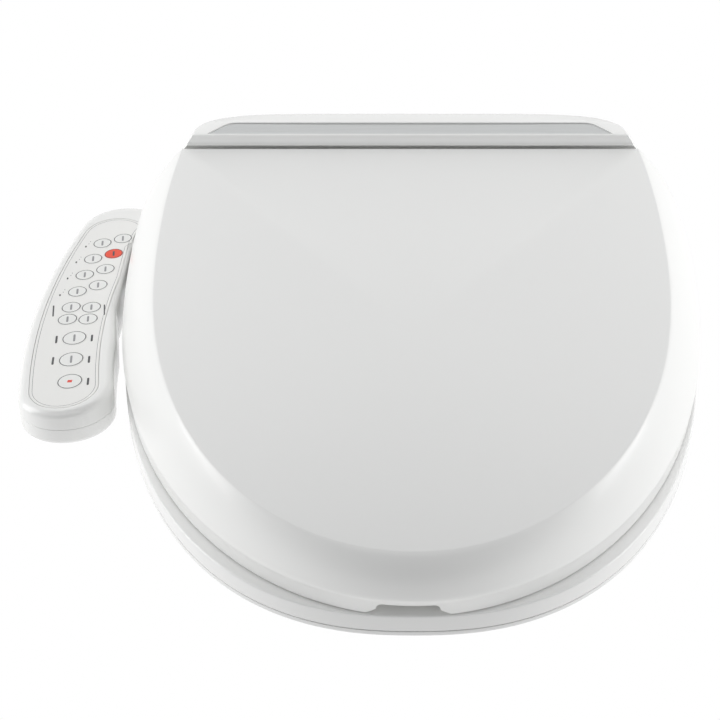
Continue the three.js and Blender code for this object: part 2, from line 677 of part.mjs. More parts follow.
place('arm_cover', armCover(), WHITE);
place('arm_base', armBase(), WHITE);
const overlay = overlayPlate(-OVERLAY.thick, 0, 0).subtract(keyHoles(-5, 5)).subtract(inFace(armClearance()));
place('control_overlay', overlay, WHITE, face);
place('key_board', keyBoard(), BOARD, face);
keys().forEach(({ radius, at }, i) => {
  const material = i === 2 ? RED : WHITE;
  const name = `key_${String(i + 1).padStart(2, '0')}`;
  place(name, bar('z', KEY.low, KEY.top, onFace(at), radius, 16), material, face);
});

export default group;
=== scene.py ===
# %% [markdown]
# # An electric bidet seat
# The seat is a lid over a ring, a rear unit with the works inside, and a control arm at its side.
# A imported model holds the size, the place and the motion of every part.
# This lesson gives the parts their surfaces and finishes, a cell at a time.

# %% Load the frame
import bmesh
import bpy
import json
import math
import numpy as np
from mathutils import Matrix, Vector


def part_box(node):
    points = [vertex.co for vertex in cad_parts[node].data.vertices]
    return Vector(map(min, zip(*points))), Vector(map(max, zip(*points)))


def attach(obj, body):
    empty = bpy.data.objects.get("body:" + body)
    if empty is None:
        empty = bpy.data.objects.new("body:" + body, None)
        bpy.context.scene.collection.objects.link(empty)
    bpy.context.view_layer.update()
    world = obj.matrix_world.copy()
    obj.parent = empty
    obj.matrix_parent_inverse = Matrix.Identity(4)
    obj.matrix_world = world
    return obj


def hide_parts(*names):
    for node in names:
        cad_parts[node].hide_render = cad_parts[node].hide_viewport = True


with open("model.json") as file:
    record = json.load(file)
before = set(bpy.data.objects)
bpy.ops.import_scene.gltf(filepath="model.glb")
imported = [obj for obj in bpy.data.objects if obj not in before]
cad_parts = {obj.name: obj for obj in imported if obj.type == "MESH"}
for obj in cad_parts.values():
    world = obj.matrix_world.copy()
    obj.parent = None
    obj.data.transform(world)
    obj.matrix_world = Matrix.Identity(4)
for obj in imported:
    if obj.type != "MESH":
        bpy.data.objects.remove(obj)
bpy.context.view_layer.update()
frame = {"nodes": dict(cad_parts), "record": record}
MM = 0.001

# %% [markdown]
# ## The camera
# A long lens from high in front keeps the outlines nearly parallel. The small shift slides the
# picture sideways without turning the camera, so upright edges stay as they are.

# %% Camera
LENS_MM = 80
SENSOR_MM = 36
CAMERA_AT = (-0.0096, -1.1179, 0.6264)
CAMERA_PITCH = math.radians(58)

camera_data = bpy.data.cameras.new("camera")
camera_data.lens = LENS_MM
camera_data.sensor_width = SENSOR_MM
camera_data.shift_x = -0.052
camera = bpy.data.objects.new("camera", camera_data)
camera.location = CAMERA_AT
camera.rotation_euler = (CAMERA_PITCH, 0, 0)
bpy.context.scene.collection.objects.link(camera)
bpy.context.scene.camera = camera
print("camera", CAMERA_AT, "lens", LENS_MM)

# %% [markdown]
# ## Shader maths as Python
# A shader's sums are easier to read as Python than as a web of Math nodes. `Wire` wraps one socket,
# and each operator on it adds the Math node that does the sum. `Finish` is one material: its `node`
# method makes any other node from its type, its settings and its inputs.


# %% Wire and Finish
class Wire:
    """One output socket; sums on it add Math nodes to its material."""

    def __init__(self, finish, socket):
        self.finish = finish
        self.socket = socket

    def math(self, operation, other):
        return self.finish.node("ShaderNodeMath", {"operation": operation}, {0: self, 1: other})

    def __add__(self, other):
        return self.math("ADD", other)

    def __mul__(self, other):
        return self.math("MULTIPLY", other)

    __radd__ = __add__
    __rmul__ = __mul__


class Finish:
    """A material built node by node."""

    def __init__(self, name):
        self.material = bpy.data.materials.new(name)
        self.material.use_nodes = True
        self.tree = self.material.node_tree
        self.tree.nodes.clear()
        self.shader = self.tree.nodes.new("ShaderNodeBsdfPrincipled")
        output = self.tree.nodes.new("ShaderNodeOutputMaterial")
        self.tree.links.new(self.shader.outputs[0], output.inputs[0])

    def node(self, kind, settings=None, inputs=None, out=0):
        made = self.tree.nodes.new(kind)
        for key, value in (settings or {}).items():
            setattr(made, key, value)
        for key, value in (inputs or {}).items():
            self.put(made.inputs[key], value)
        return Wire(self, made.outputs[out])

    def put(self, socket, value):
        if isinstance(value, Wire):
            self.tree.links.new(value.socket, socket)
        else:
            socket.default_value = value

    def set(self, **values):
        for key, value in values.items():
            self.put(self.shader.inputs[key.replace("_", " ")], value)

    def coords(self):
        return self.node("ShaderNodeTexCoord", out="Object")

    def stretched(self, scale):
        return self.node("ShaderNodeMapping", {}, {"Vector": self.coords(), "Scale": scale})

    def noise(self, scale, detail=2.0, vector=None):
        vector = vector or self.coords()
        return self.node("ShaderNodeTexNoise", {}, {"Vector": vector, "Scale": scale, "Detail": detail})

    def blend(self, factor, low, high):
        """A colour that goes from low to high as factor goes from 0 to 1."""
        mix = {"data_type": "RGBA"}
        return self.node("ShaderNodeMix", mix, {0: factor, 6: (*low, 1), 7: (*high, 1)}, out=2)

    def bump(self, height, strength, distance):
        inputs = {"Height": height, "Strength": strength, "Distance": distance}
        return self.node("ShaderNodeBump", {}, inputs)


print("shader helpers ready")

# %% [markdown]
# ## White moulded plastic
# Real white mouldings are never one flat white. The tone drifts a little over the piece, and a very
# fine ripple called orange peel breaks up the highlights. Two noises do both: a broad one for
# tone, a fine one for gloss and bump.


# %% Plastics
def moulded(name, color, rough, coat=0.0, ripple=0.02, ripple_scale=700, drift=0.985):
    """Plastic: tone drifts by `drift`, gloss varies by a tenth, and a fine noise bumps it."""
    finish = Finish(name)
    broad = finish.noise(9, 3)
    fine = finish.noise(ripple_scale, 2)
    deep = tuple(part * drift for part in color)
    finish.set(
        Base_Color=finish.blend(broad, deep, color),
        Roughness=rough * 0.9 + broad * (rough * 0.2),
        Normal=finish.bump(fine, ripple, 0.0004),
        Coat_Weight=coat,
        Coat_Roughness=0.06,
        IOR=1.49,
    )
    return finish.material


WHITE = moulded("gloss_white", (0.86, 0.862, 0.85), 0.24, 0.35)
LID_GLOSS = moulded("lid_gloss", (0.86, 0.862, 0.85), 0.34, 0.12)
LID_SATIN = moulded("lid_satin", (0.82, 0.822, 0.812), 0.5, 0.0, 0.06, 2400)
RING_WHITE = moulded("ring_white", (0.85, 0.852, 0.842), 0.26, 0.3)
FILM = moulded("overlay_film", (0.86, 0.858, 0.84), 0.42, 0.0, 0.05, 3200)
GREY = moulded("cartridge_grey", (0.5, 0.51, 0.51), 0.55, 0.0, 0.08, 1500)
DARK = moulded("inner_dark", (0.035, 0.036, 0.038), 0.6, 0.0, 0.1, 900, 0.8)
RUBBER = moulded("pale_rubber", (0.66, 0.66, 0.64), 0.8, 0.0, 0.12, 1200, 0.93)
print("materials so far", len(bpy.data.materials))

# %% [markdown]
# ## Metals, circuit board and the grey strip
# The strip has a fine grain drawn along its length, which is noise stretched nearly two hundredfold in X.
# Turned metal gets a mild cloudiness, and the boards get rows of pads from a brick pattern.


# %% Metals and boards
def metal(name, color, rough, grain=(300, 300, 300)):
    """Metal: noise in stretched coordinates varies gloss and bumps it."""
    finish = Finish(name)
    lines = finish.noise(1, 3, finish.stretched(grain))
    finish.set(
        Base_Color=finish.blend(lines, tuple(part * 0.9 for part in color), color),
        Metallic=1.0,
        Roughness=rough * 0.8 + lines * (rough * 0.4),
        Normal=finish.bump(lines, 0.08, 0.0003),
    )
    return finish.material


def strip_grain():
    """Satin grey lacquer with a grain drawn along X."""
    finish = Finish("strip_grain")
    lines = finish.noise(1, 4, finish.stretched((14, 2600, 2600)))
    finish.set(
        Base_Color=finish.blend(lines, (0.46, 0.47, 0.47), (0.64, 0.65, 0.65)),
        Metallic=0.35,
        Roughness=0.3 + lines * 0.15,
        Normal=finish.bump(lines, 0.12, 0.0002),
    )
    return finish.material


def circuit_board(name):
    """Green lacquer with rows of tinned pads."""
    finish = Finish(name)
    bricks = {"Vector": finish.coords(), "Scale": 160.0, "Mortar Size": 0.03}
    bricks.update({"Color1": (0.01, 0.12, 0.05, 1), "Color2": (0.015, 0.17, 0.07, 1)})
    bricks["Mortar"] = (0.5, 0.5, 0.45, 1)
    finish.set(Base_Color=finish.node("ShaderNodeTexBrick", {}, bricks), Roughness=0.35, Coat_Weight=0.4)
    return finish.material


STEEL = metal("satin_steel", (0.62, 0.62, 0.63), 0.3)
BRASS = metal("turned_brass", (0.72, 0.52, 0.22), 0.28, (40, 1800, 40))
STRIP = strip_grain()
BOARD = circuit_board("circuit_board")
print("materials so far", len(bpy.data.materials))

# %% [markdown]
# ## Surfaces from rings
# Most shells here are a stack of closed rings with the same number of points. `skin` numbers the
# squares between the rings as one array, and a fan of triangles closes each end.


# %% Ring surfaces
def skin(rows, columns):
    """The squares between `rows` closed rings of `columns` points, as an array of corner numbers."""
    row, column = np.meshgrid(np.arange(rows - 1), np.arange(columns), indexing="ij")
    here = row * columns + column
    beside = row * columns + (column + 1) % columns
    return np.stack([here, beside, beside + columns, here + columns], -1).reshape(-1, 4)


def closed_loft(rings):
    """Points and faces of a closed body: rings run anticlockwise from above, lowest first."""
    count = len(rings[0])
    points = np.concatenate([*rings, rings[0].mean(0)[None], rings[-1].mean(0)[None]])
    first = np.arange(count)
    beside = (first + 1) % count
    last = (len(rings) - 1) * count
    foot, head = len(points) - 2, len(points) - 1
    bottom = np.stack([beside, first, np.full(count, foot)], -1)
    top = np.stack([first + last, beside + last, np.full(count, head)], -1)
    return points, [*skin(len(rings), count).tolist(), *bottom.tolist(), *top.tolist()]


def loop_loft(rings):
    """Points and faces of a ring-shaped body: the last ring joins the first again."""
    count = len(rings[0])
    faces = skin(len(rings) + 1, count) % (len(rings) * count)
    return np.concatenate(rings), faces.tolist()


SHARP = math.radians(38)


def outward(mesh):
    """Turns every closed part of a mesh so that its faces point out."""
    work = bmesh.new()
    work.from_mesh(mesh)
    bmesh.ops.recalc_face_normals(work, faces=work.faces)
    work.to_mesh(mesh)
    work.free()


def piece(name, shape, body, finishes, nodes=(), choose=None):
    """Makes a mesh object from (points, faces), rides it on a body and lets it stand for CAD nodes."""
    points, faces = shape
    mesh = bpy.data.meshes.new(name)
    mesh.from_pydata(points.tolist(), [], faces)
    for finish in finishes:
        mesh.materials.append(finish)
    if choose is not None:
        mesh.polygons.foreach_set("material_index", choose(mesh).astype(np.int32))
    outward(mesh)
    mesh.shade_smooth()
    mesh.set_sharp_from_angle(angle=SHARP)
    made = bpy.data.objects.new(name, mesh)
    bpy.context.scene.collection.objects.link(made)
    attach(made, body)
    if nodes:
        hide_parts(*nodes)
    print(f"{name}: {len(mesh.polygons)} faces on {body}")
    return made


def joined(*shapes):
    """Several (points, faces) as one."""
    points, faces, start = [], [], 0
    for some, corners in shapes:
        points.append(some)
        faces += [[corner + start for corner in face] for face in corners]
        start += len(some)
    return np.concatenate(points), faces


def centres(mesh):
    """The middle of every face, as an array."""
    out = np.empty(len(mesh.polygons) * 3)
    mesh.polygons.foreach_get("center", out)
    return out.reshape(-1, 3)


print("ring surfaces ready")

# %% [markdown]
# ## Cutting with a body
# A notch or a window in a shell is cleanest as a Boolean modifier. It is applied at once and the
# cutter is thrown away, so only the finished mesh is left.


# %% Cutting
def block(low, high):
    """A box from its lowest to its highest corner, in millimetres."""
    (x0, y0, z0), (x1, y1, z1) = low, high
    ring = np.array([[x1, y0], [x1, y1], [x0, y1], [x0, y0]])
    rings = [np.column_stack([ring, np.full(4, z)]) * MM for z in (z0, z1)]
    return closed_loft(rings)


def cut(target, shape):
    """Takes a body away from a piece."""
    mesh = bpy.data.meshes.new("cutter")
    mesh.from_pydata(shape[0].tolist(), [], shape[1])
    outward(mesh)
    cutter = bpy.data.objects.new("cutter", mesh)
    bpy.context.scene.collection.objects.link(cutter)
    modifier = target.modifiers.new("cut", "BOOLEAN")
    modifier.operation = "DIFFERENCE"
    modifier.solver = "MANIFOLD"
    modifier.object = cutter
    graph = bpy.context.evaluated_depsgraph_get()
    result = bpy.data.meshes.new_from_object(target.evaluated_get(graph))
    target.modifiers.remove(modifier)
    target.data = result
    bpy.data.objects.remove(cutter)
    result.shade_smooth()
    result.set_sharp_from_angle(angle=SHARP)
    print(f"{target.name}: cut, {len(result.polygons)} faces")


def rounded_bar(outline, low, high, soft, axis=0, steps=4):
    """An outline carried along an axis with its two end edges rounded by `soft`, in millimetres.

    Each ring is the outline drawn in towards its middle by soft * (1 - sin a) while it moves
    in from the end by soft * (1 - cos a).
    """
    outline = np.asarray(outline, float)
    middle = outline.mean(0)
    reach = np.linalg.norm(outline - middle, axis=1).mean()
    angles = np.linspace(0, np.pi / 2, steps + 1)
    inward = [soft * (1 - math.sin(a)) for a in angles]
    along = [soft * (1 - math.cos(a)) for a in angles]
    places = [(low + s, i) for s, i in zip(along, inward)]
    places += [(high - s, i) for s, i in zip(reversed(along), reversed(inward))]
    rings = []
    for place, inset in places:
        flat = middle + (outline - middle) * (1 - inset / reach)
        rings.append(np.insert(flat, axis, place, axis=1) * MM)
    return closed_loft(rings)


print("cutting ready")

# %% [markdown]
# ## The outline of a seat
# Seen from above, lid and ring are blunt ellipses cut off straight at the back. Half the width at y
# is `half * (1 - ahead ** power) ** (1 / root)`, where `ahead` runs from 0 at the widest line to 1
# at the tip.


# %% Outlines
def half_width(shape, y):
    """Half the width at each y; behind the widest line the sides draw in by taper * distance ** 2."""
    ahead = np.clip((shape["widest"] - y) / shape["length"], 0, 1)
    behind = np.clip(y - shape["widest"], 0, None)
    root = shape.get("root", 2)
    return shape["half"] * (1 - ahead ** shape["power"]) ** (1 / root) - shape.get("taper", 0) * behind**2


def bowl_outline(shape, rear, inset=0.0, steps=90, rear_steps=40):
    """The closed outline from the tip up the right side, across the rear and down the left."""
    inner = {**shape, "half": shape["half"] - inset, "length": shape["length"] - inset}
    turn = np.linspace(1, 0, steps + 1) * np.pi / 2
    tip = shape["widest"] - inner["length"]
    y = rear + (tip - rear) * np.sin(turn)
    x = half_width(inner, y)
    x[0] = 0
    across = np.linspace(x[-1], -x[-1], rear_steps + 1)[1:-1]
    back = np.column_stack([across, np.full(len(across), rear)])
    right = np.column_stack([x, y])
    left = np.column_stack([-x, y])[::-1][:-1]
    return np.concatenate([right, back, left])


def heights(outline, z):
    """An outline in plan, in millimetres, lifted to z and given in metres."""
    return np.column_stack([outline, np.broadcast_to(z, len(outline))]) * MM


PANEL = {"half": 176.5, "widest": -105, "length": 312, "power": 2.46, "taper": 6.7e-4}
LIP = {"half": 214.5, "widest": 0, "length": 428.5, "power": 2.3}
RIM = {"half": 213.5, "widest": 0, "length": 426, "power": 2.3}
RING = {"half": 212, "widest": 0, "length": 425, "power": 2.3, "root": 2.4}
LID_LOW, LID_HIGH = (corner / MM for corner in map(np.array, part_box("lid_shell")))
HINGE_Y, HINGE_Z = (np.array(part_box("hinge_pin_left")).mean(0) / MM)[1:]
print("hinge line at", round(HINGE_Y, 1), round(HINGE_Z, 1), "lid from", LID_LOW.round(1))

# %% [markdown]
# ## The lid
# The real lid is one thin moulding: a flat satin panel, a glossy bevel that falls from it and swells
# on the way down, a soft lip, and an upright rim with a finger notch at the front. The bevel blends
# the panel's outline into the lip's: sideways by `0.3 u + 0.7 u ** 2.5` while it rises evenly with u.

# %% Lid
LID_REAR = LID_HIGH[1]
RIM_Z = LID_LOW[2]
LIP_Z = 36
PANEL_TIP_Z = 62
PANEL_TIP_Y = PANEL["widest"] - PANEL["length"]
PANEL_SLOPE = 0.157
LID_WALL = 3
NOTCH = {"half": 24.5, "top": 30.4, "at": -3.5, "soft": 3.8, "shoulder": 8, "front": -440, "back": -412}
REAR_GAP = ((-162, -30, 0), (162, 0, 118))
EYE_RADIUS = 9
LID_EYE = (140, 158)
POST_TOP, POST_RADIUS = 76, 7


def panel_height(y):
    """The height of the flat panel at y."""
    return PANEL_TIP_Z + PANEL_SLOPE * (y - PANEL_TIP_Y)


def lid_rings(inset, steps):
    """Rings from the foot of the rim to the edge of the panel, all `inset` inside the lid's face."""
    rear = LID_REAR - inset
    rim = bowl_outline(RIM, rear, inset)
    lip = bowl_outline(LIP, rear, inset)
    panel = bowl_outline(PANEL, rear, inset)
    rings = [heights(rim, RIM_Z), heights(rim, LIP_Z - 4.5)]
    for drop, part in ((3.2, 0.35), (1.6, 0.8)):
        rings.append(heights(rim + (lip - rim) * part, LIP_Z - drop))
    for up in np.linspace(0, 1, steps) ** 0.9:
        across = 0.3 * up + 0.7 * up**2.5
        outline = lip + (panel - lip) * across
        z = LIP_Z + (panel_height(panel[:, 1]) - inset - LIP_Z) * up
        rings.append(heights(outline, z))
    return rings


def rounded_panel(rings, inset):
    """Softens the panel's edge: the last ring drops 0.35 mm and a new one closes in 0.9 mm."""
    edge = rings[-1].copy()
    edge[:, 2] -= 0.35 * MM
    middle = edge.mean(0)
    inner = edge + (middle - edge) / np.linalg.norm(edge - middle, axis=1)[:, None] * 0.9 * MM
    inner[:, 2] = (panel_height(inner[:, 1] / MM) - inset) * MM
    return [*rings[:-1], edge, inner]


def lid_body():
    """The outer face from panel to rim, then the inner face back up, as one closed skin."""
    outer = rounded_panel(lid_rings(0, 22), 0)
    inner = lid_rings(LID_WALL, 12)
    inner[0][:, 2] = RIM_Z * MM
    rings = [*reversed(inner), *outer]
    return closed_loft(rings)


def is_panel(mesh):
    """1 for faces within a quarter of a millimetre of the flat panel, 0 for the glossy ones."""
    middle = centres(mesh) / MM
    return np.abs(middle[:, 2] - panel_height(middle[:, 1])) < 0.25


def eye_outline(post_low, post_high, radius=EYE_RADIUS, steps=24):
    """A round eye, drawn without its bore, about the hinge line on a straight post, in the Y-Z plane."""
    angles = np.linspace(0, np.pi, steps) if post_low < HINGE_Z else np.linspace(np.pi, 2 * np.pi, steps)
    arc = np.column_stack([HINGE_Y + radius * np.cos(angles), HINGE_Z + radius * np.sin(angles)])
    far = post_low if post_low < HINGE_Z else post_high
    ends = [[arc[-1, 0], far], [arc[0, 0], far]]
    return np.concatenate([arc, ends])


def mirrored(outline, low, high, soft):
    """The same rounded bar on the left and on the right."""
    return joined(rounded_bar(outline, low, high, soft), rounded_bar(outline, -high, -low, soft))


def round_post(x, y, low, high, radius, steps=32):
    """An upright round post with a softened foot."""
    turn = np.linspace(0, 2 * np.pi, steps, endpoint=False)
    plan = np.column_stack([np.cos(turn), np.sin(turn)])
    levels = [(low, radius - 1), (low + 0.4, radius - 0.3), (low + 1.2, radius), (high, radius)]
    return closed_loft([heights(plan * r + (x, y), z) for z, r in levels])


lid_finishes = [LID_GLOSS, LID_SATIN]
lid = piece("lid_moulding", lid_body(), "lid", lid_finishes, ["lid_shell"], is_panel)
cut(lid, block(*REAR_GAP))
notch_turn = np.linspace(0, np.pi / 2, 8)
notch_x = NOTCH["half"] - NOTCH["shoulder"] - NOTCH["soft"] / 2
notch_middle = (notch_x, NOTCH["top"] - NOTCH["soft"])
notch_side = np.column_stack([np.cos(notch_turn), np.sin(notch_turn)]) * NOTCH["soft"] + notch_middle
notch_foot = [[NOTCH["half"] + 3, RIM_Z - 5], [NOTCH["half"], RIM_Z], [NOTCH["half"] - 3, RIM_Z + 1.6]]
notch_right = np.concatenate([notch_foot, notch_side])
notch = np.concatenate([notch_right, (notch_right * (-1, 1))[::-1]]) + (NOTCH["at"], 0)
cut(lid, rounded_bar(notch, NOTCH["front"], NOTCH["back"], 0.4, axis=1))
web = eye_outline(HINGE_Z + 1, HINGE_Z + 14.5)
piece("lid_eyes", mirrored(web, *LID_EYE, 1), "lid", [LID_GLOSS])
buffer_low, buffer_high = (np.array(corner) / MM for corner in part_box("lid_buffer_right"))
buffer_x, buffer_y = ((buffer_low + buffer_high) / 2)[:2]
post_foot = buffer_high[2] + 0.3
posts = [round_post(side * buffer_x, buffer_y, post_foot, POST_TOP, POST_RADIUS) for side in (-1, 1)]
piece("lid_posts", joined(*posts), "lid", [LID_GLOSS])

# %% [markdown]
# ## The ring
# The ring's section is the same all the way round: a flat foot, an upright outer side with soft
# edges, a barely crowned top, and a well rounded inner lip. The outer and the inner outline
# are both read by angle about the opening's centre, and the section is hung between them.

# %% Ring
APERTURE = {"y": -236, "half": 118, "length": 124, "power": 2.2}
RING_REAR = -84
WING_REAR = -48
WING_CORNER = 10
RING_LOW, RING_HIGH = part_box("ring_base")[0].z / MM, 22
RING_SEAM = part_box("ring_top")[0].z / MM
RING_EYE = (120, 138)


def ring_outline(angles):
    """The outer outline's points at angles about the opening's centre."""
    outline = bowl_outline(RING, RING_REAR, 0, 400, 400)
    away = outline - (0, APERTURE["y"])
    bearing = np.arctan2(away[:, 1], away[:, 0])
    order = np.argsort(bearing)
    reach = np.interp(angles, bearing[order], np.linalg.norm(away, axis=1)[order], period=2 * np.pi)
    return np.column_stack([np.cos(angles), np.sin(angles)]) * reach[:, None] + (0, APERTURE["y"])


def aperture_outline(angles):
    """The opening's edge, a blunt ellipse, at the same angles."""
    c, s = np.abs(np.cos(angles)), np.abs(np.sin(angles))
    power = APERTURE["power"]
    reach = ((c / APERTURE["half"]) ** power + (s / APERTURE["length"]) ** power) ** (-1 / power)
    return np.column_stack([np.cos(angles), np.sin(angles)]) * reach[:, None] + (0, APERTURE["y"])


def round_corner(radius, steps=6):
    """A quarter turn: how far in from the edge as it goes to 0, and how far below the top from 0."""
    turn = np.linspace(0, np.pi / 2, steps)
    return list(zip(radius * (1 - np.sin(turn)), radius * (1 - np.cos(turn))))


def ring_body(low, high, outer_soft, inner_soft, crown, foot=0.8):
    """Hangs the section between the two outlines: (side, distance in from that side, height).

    Where the side is "part", the distance is a share of the way from the outer to the inner outline.
    """
    bearings = np.linspace(-np.pi, np.pi, 360, endpoint=False)
    corner = math.atan2(RING_REAR - APERTURE["y"], half_width(RING, np.array(float(RING_REAR))))
    bearings[np.argmin(np.abs(bearings - corner))] = corner
    bearings[np.argmin(np.abs(bearings - np.pi + corner))] = np.pi - corner
    outer, inner = ring_outline(bearings), aperture_outline(bearings)
    across = outer - inner
    width = np.linalg.norm(across, axis=1)[:, None]
    section = [("outer", foot, low), ("outer", 0, low + foot)]
    section += [("outer", d, high - crown - b) for b, d in round_corner(outer_soft)]
    section += [("part", part, high - crown * (2 * part - 1) ** 2) for part in (0.2, 0.35, 0.5, 0.65, 0.8)]
    section += [("inner", d, high - crown - b) for d, b in round_corner(inner_soft)]
    section += [("inner", 0, low + foot), ("inner", foot, low)]
    rings = []
    for side, amount, z in section:
        if side == "part":
            plan = outer - across * amount
        else:
            plan = outer - across / width * amount if side == "outer" else inner + across / width * amount
        rings.append(heights(plan, z))
    return loop_loft(rings)


def wing_outline(side, inset=0.0, steps=14):
    """The plan of the wing beside the bay, from the ring's rear edge back towards the hinge."""
    y = np.linspace(RING_REAR - 0.5, WING_REAR, steps)
    outer = half_width(RING, y)
    past = ((y - WING_REAR + WING_CORNER) / WING_CORNER).clip(0)
    corner = WING_CORNER * (1 - np.sqrt(np.clip(1 - past**2, 0, 1)))
    edge = np.column_stack([outer - corner - inset, y])
    inner = [[RING_EYE[0] + inset, WING_REAR], [RING_EYE[0] + inset, RING_REAR - 0.5]]
    outline = np.concatenate([edge, inner])
    return outline if side > 0 else (outline * (-1, 1))[::-1]


def wing(side, low, high, soft):
    """A wing with its top and bottom edges softened."""
    levels = [(low, soft), (low + soft, 0), (high - 3, 0), (high - 1, 0.7), (high, 2.5)]
    return closed_loft([heights(wing_outline(side, inset), z) for z, inset in levels])


ring_shape = ring_body(RING_SEAM, RING_HIGH, 1.2, 7, 0.3)
ring_parts = [ring_shape, wing(1, RING_SEAM, RING_HIGH - 0.3, 0.1), wing(-1, RING_SEAM, RING_HIGH - 0.3, 0.1)]
eye_turn = np.linspace(np.pi, 0, 20)
eye = np.column_stack([np.cos(eye_turn), np.sin(eye_turn)]) * EYE_RADIUS + (HINGE_Y, HINGE_Z)
ring_arm = np.concatenate([eye, [[WING_REAR - 6, RING_HIGH - 4], [RING_REAR, RING_HIGH - 4]]])[::-1]
ring_parts.append(mirrored(ring_arm, *RING_EYE, 1.5))
piece("ring_upper", joined(*ring_parts), "ring", [RING_WHITE], ["ring_top"])
base_shape = ring_body(RING_LOW, RING_SEAM - 0.08, 0.15, 0.5, 0, 1.6)
base_parts = [base_shape, wing(1, RING_LOW, RING_SEAM - 0.08, 1), wing(-1, RING_LOW, RING_SEAM - 0.08, 1)]
piece("ring_lower", joined(*base_parts), "ring", [RING_WHITE], ["ring_base"])

# %% [markdown]
# ## The rear housing
# The housing is a stack of plans: straight in front, drawn round at the back corners by a blunt
# curve. Its front follows a cove about the hinge line, so that the lid's rear edge can swing past.
# The deck holds a shallow pocket for the grey strip.

# %% Housing
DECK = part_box("rear_housing")[1].z / MM
FRONT = -15
COVE = 28.5
DECK_SLOPE = {"foot": 127, "rise": 7, "run": 6}
HOUSING_WALL = 3
SIDE_Z = (6.6, 28, 54, 80, 97, 114, 126, 132, 134)
SIDE_HALF = (212, 213, 208, 198, 189, 176, 168, 164, 160)
SIDE_BACK = (48, 48, 48, 48, 46, 42, 35, 30, 26)


def smooth(z, places, values):
    """A cubic through values: inner slopes are their neighbours' average, or 0 where the way turns."""
    places, values = np.array(places, float), np.array(values, float)
    steps = np.diff(values) / np.diff(places)
    slope = np.concatenate([[steps[0]], (steps[1:] + steps[:-1]) / 2, [steps[-1]]])
    slope[1:-1][steps[1:] * steps[:-1] <= 0] = 0
    i = np.clip(np.searchsorted(places, z, side="right") - 1, 0, len(places) - 2)
    run = places[i + 1] - places[i]
    t = (z - places[i]) / run
    a, b = values[i], values[i + 1]
    return (
        a * (1 + 2 * t) * (1 - t) ** 2
        + b * t**2 * (3 - 2 * t)
        + slope[i] * run * t * (1 - t) ** 2
        - slope[i + 1] * run * t**2 * (1 - t)
    )


def front_edge(z):
    """The front of the housing at z: a wall, then the cove, then the slope up to the deck."""
    lift = np.clip(1 - ((z - HINGE_Z) / COVE) ** 2, 0, 1)
    cove = HINGE_Y + COVE * math.sqrt(lift)
    if z < DECK_SLOPE["foot"]:
        return max(FRONT, cove)
    return FRONT + DECK_SLOPE["run"] * ((z - DECK_SLOPE["foot"]) / DECK_SLOPE["rise"]) ** 2


def housing_plan(z, inset=0.0, steps=48, front_steps=30):
    """The plan at z: x = half * (1 - along ** 2.5) ** (1 / 6) from the front corner to the back."""
    half = smooth(z, SIDE_Z, SIDE_HALF) - inset
    back = smooth(z, SIDE_Z, SIDE_BACK) - inset
    front = front_edge(z) + inset
    along = np.sin(np.linspace(0, np.pi / 2, steps + 1))
    x = half * np.clip(1 - along**2.5, 0, 1) ** (1 / 6)
    right = np.column_stack([x, front + (back - front) * along])
    left = (right * (-1, 1))[::-1][1:]
    across = np.linspace(left[-1, 0], right[0, 0], front_steps + 1)[1:-1]
    return np.concatenate([right, left, np.column_stack([across, np.full(len(across), front)])])


STRIP_LOW, STRIP_HIGH = (np.array(corner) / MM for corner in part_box("deck_strip"))
STRIP_BACK_HALF = 138


def strip_plan(margin, count=8):
    """The strip's outline: straight front, and slanted ends rounded into the straight back."""
    front, back = STRIP_LOW[1] - margin, STRIP_HIGH[1] + margin
    half = STRIP_HIGH[0] + margin
    part = np.linspace(0, 1, count)[:, None]
    slant = np.array([STRIP_BACK_HALF - half, back - front], float)
    corner = np.array([STRIP_BACK_HALF, back], float)
    before, after = corner - slant * 0.3, corner - (6, 0)
    bend = before * (1 - part) ** 2 + corner * 2 * part * (1 - part) + after * part**2
    right = np.concatenate([[[half - 0.8, front], [half - 0.3, front + 0.7]], bend])
    return np.concatenate([right, (right * (-1, 1))[::-1]])


def housing_body():
    """The outside from foot to deck, softened where it turns over, then the inside back down."""
    side = np.linspace(SIDE_Z[0], 80, 12)
    cove = np.linspace(84, 126, 22)
    slope = np.linspace(DECK_SLOPE["foot"], DECK - 2, 6)
    outer = [heights(housing_plan(z), z) for z in np.concatenate([side, cove, slope])]
    for drop, inset in ((1.1, 0.3), (0.4, 0.9), (0, 2.0)):
        outer.append(heights(housing_plan(DECK - 2, inset), DECK - drop))
    inner = [heights(housing_plan(z, HOUSING_WALL), z) for z in (SIDE_Z[0], 40, 76, 100, 125)]
    return closed_loft([*reversed(inner), *outer])


housing = piece("housing_shell", housing_body(), "unit", [WHITE], ["rear_housing"])
pocket = [heights(strip_plan(0.35), z) for z in (STRIP_LOW[2] - 0.3, DECK + 3)]
cut(housing, closed_loft(pocket))

# %% [markdown]
# ## The bay under the lid
# Ahead of the housing a low bay holds the nozzles and the end of the dryer duct. It is a softened
# bar across the unit, hollowed from below, with two posts that carry the hinge pins, and two windows
# cut in its front.

# %% Bay
BAY = {"half": 117, "front": -70, "low": 6.6, "top": 77, "soft": 6, "wall": 3, "roof": 4}
FOOT_BELOW, FOOT_DROP = 20, 3
WINDOW_FRONT, WINDOW_BACK = -80, -62
NOZZLE_WINDOW = {"half": 34, "top": 18}
DUCT_LIP = 1
PIN_POST = (96, 117)


